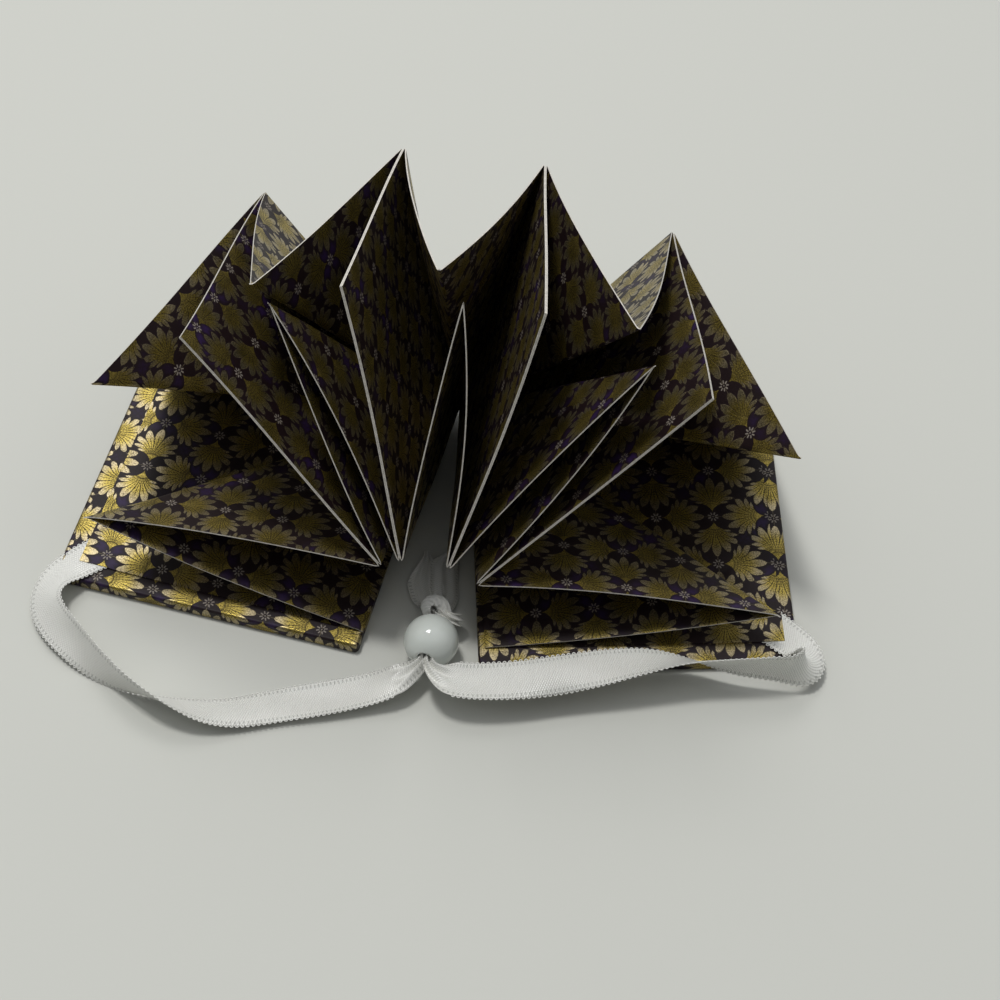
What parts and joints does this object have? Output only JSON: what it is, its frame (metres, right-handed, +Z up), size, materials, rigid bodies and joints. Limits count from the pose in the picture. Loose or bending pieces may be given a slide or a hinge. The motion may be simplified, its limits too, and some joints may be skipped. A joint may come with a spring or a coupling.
{
  "type": "kusudama paper ball",
  "caption": "Folded-paper star ornament opened flat like a lotus between two stiff square covers, with a ribbon from each cover drawn through one bead to a knot.",
  "frame": {"origin": "centre of the footprint of the covers and folded sheets, on the table", "axes": "+X from the first cover to the last cover, +Y from the ribbons' bead towards the back of the folds, +Z up from the table the covers lie on"},
  "size_m": [0.1369, 0.0889, 0.0666],
  "materials": {
    "sheet_paper": "dark purple paper printed with metallic gold palmettes",
    "cover_paper": "dark purple paper printed with metallic gold palmettes",
    "board": "raw grey board",
    "ribbon": "white satin with looped edges",
    "bead": "glossy milk white"
  },
  "bodies": {
    "root": {"left_cover_board": "board", "left_cover_paper": "cover_paper", "right_cover_board": "board", "right_cover_paper": "cover_paper", "folded_sheet_1": "sheet_paper", "folded_sheet_2": "sheet_paper", "folded_sheet_3": "sheet_paper", "folded_sheet_4": "sheet_paper", "folded_sheet_5": "sheet_paper", "left_ribbon": "ribbon", "right_ribbon": "ribbon", "ribbon_knot": "ribbon", "bead": "bead"}
  },
  "joints": []
}
